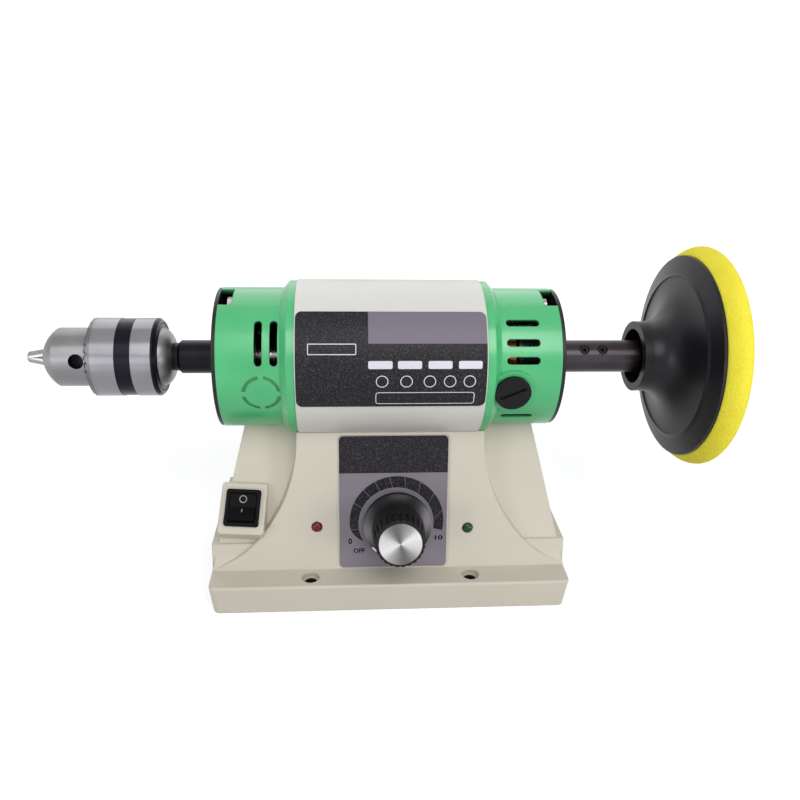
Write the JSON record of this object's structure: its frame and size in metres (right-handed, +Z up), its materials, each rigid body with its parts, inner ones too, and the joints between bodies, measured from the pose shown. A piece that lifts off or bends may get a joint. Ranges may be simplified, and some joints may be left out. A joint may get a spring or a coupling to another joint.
{
  "type": "bench buffer",
  "caption": "Bench buffer on a moulded base: motor with a key chuck at one end and a foam backing pad at the other, rocker switch and speed knob.",
  "frame": {"origin": "centre of the four bench bolt holes on the underside of the base", "axes": "+X along the motor axis from the chuck towards the pad, +Y from the control panel to the back, +Z up"},
  "size_m": [0.3788, 0.134, 0.1955],
  "materials": {
    "base_plastic": "moulded, fine grain",
    "tube_paint": "satin paint",
    "green_plastic": "glossy",
    "black_plastic": "satin",
    "black_gloss": "glossy",
    "zinc_steel": "zinc plated",
    "shaft_steel": "ground",
    "bearing_steel": "polished",
    "lamination_steel": "stacked sheet",
    "copper_wire": "enamelled",
    "brass": "plain",
    "carbon": "pressed",
    "label_black": "printed",
    "panel_grey": "printed",
    "red_lens": "clear tinted",
    "green_lens": "clear tinted",
    "aluminium": "spun",
    "board_green": "solder mask",
    "capacitor_yellow": "moulded",
    "choke_core": "sintered",
    "terminal_green": "moulded",
    "chuck_steel": "turned and polished",
    "dark_steel": "blackened",
    "arbor_steel": "black oxide",
    "pad_plastic": "moulded",
    "foam": "open-cell foam",
    "hook_fabric": "hook tape"
  },
  "bodies": {
    "frame": {"base_housing": "base_plastic", "bottom_cover": "base_plastic", "cover_screws": "zinc_steel", "motor_tube": "tube_paint", "left_end_bell": "green_plastic", "right_end_bell": "green_plastic", "left_end_plate": "black_plastic", "right_end_plate": "black_plastic", "end_plate_screws": "zinc_steel", "left_bearing": "bearing_steel", "right_bearing": "bearing_steel", "stator_core": "lamination_steel", "field_coils": "copper_wire", "through_bolts": "zinc_steel", "bolt_nuts": "zinc_steel", "motor_screws": "zinc_steel", "brush_holders": "brass", "carbon_brushes": "carbon", "brush_springs": "zinc_steel", "brush_caps": "black_gloss", "name_plate": "label_black", "switch_body": "black_gloss", "red_lamp": "red_lens", "green_lamp": "green_lens", "control_plate": "panel_grey", "potentiometer": "zinc_steel", "pot_nut": "zinc_steel", "circuit_board": "board_green", "board_screws": "zinc_steel", "heat_sink": "aluminium", "triac": "black_plastic", "capacitor": "capacitor_yellow", "choke": "choke_core", "terminal_block": "terminal_green", "cable_gland": "black_plastic", "gland_nut": "black_plastic"},
    "spindle": {"motor_shaft": "shaft_steel", "armature_core": "lamination_steel", "armature_winding": "copper_wire", "commutator": "copper_wire", "cooling_fan": "black_plastic", "chuck_arbor": "arbor_steel", "arbor_set_screw": "arbor_steel", "chuck_body": "chuck_steel", "extension_rod": "dark_steel", "rod_set_screws": "arbor_steel", "pad_insert": "zinc_steel", "backing_plate": "pad_plastic", "foam_pad": "foam", "hook_face": "hook_fabric"},
    "chuck_sleeve": {"chuck_sleeve": "chuck_steel", "chuck_nut": "dark_steel"},
    "jaw_1": {"chuck_jaw_1": "chuck_steel"},
    "jaw_2": {"chuck_jaw_2": "chuck_steel"},
    "jaw_3": {"chuck_jaw_3": "chuck_steel"},
    "speed_knob": {"speed_knob": "black_gloss", "knob_cap": "aluminium", "pot_shaft": "shaft_steel"},
    "switch_rocker": {"switch_rocker": "black_gloss"}
  },
  "joints": [
    {"name": "spindle_spin", "type": "hinge", "parent": "frame", "child": "spindle", "pos_m": [0, 0, 0.133], "axis": [1, 0, 0], "continuous": true},
    {"name": "sleeve_turn", "type": "hinge", "parent": "spindle", "child": "chuck_sleeve", "pos_m": [-0.15, 0, 0.133], "axis": [-1, 0, 0], "range_deg": [0, 2880]},
    {"name": "jaw_1_slide", "type": "slide", "parent": "spindle", "child": "jaw_1", "axis": [0.9781, -0.0642, 0.1977], "range_m": [0, 0.024]},
    {"name": "jaw_2_slide", "type": "slide", "parent": "spindle", "child": "jaw_2", "axis": [0.9781, 0.2034, -0.0432], "range_m": [0, 0.024]},
    {"name": "jaw_3_slide", "type": "slide", "parent": "spindle", "child": "jaw_3", "axis": [0.9781, -0.1391, -0.1545], "range_m": [0, 0.024]},
    {"name": "knob_turn", "type": "hinge", "parent": "frame", "child": "speed_knob", "pos_m": [0.0034, -0.03605, 0.0464], "axis": [0, 0.9753, -0.2211], "range_deg": [0, 270]},
    {"name": "rocker_tilt", "type": "hinge", "parent": "frame", "child": "switch_rocker", "pos_m": [-0.0833, -0.03335, 0.05476], "axis": [0.9981, -0.0439, -0.0424], "range_deg": [0, 22]}
  ],
  "couplings": [
    {"joint": "jaw_1_slide", "follows": "sleeve_turn", "m_per_rad": 0.0004774},
    {"joint": "jaw_2_slide", "follows": "sleeve_turn", "m_per_rad": 0.0004774},
    {"joint": "jaw_3_slide", "follows": "sleeve_turn", "m_per_rad": 0.0004774}
  ]
}
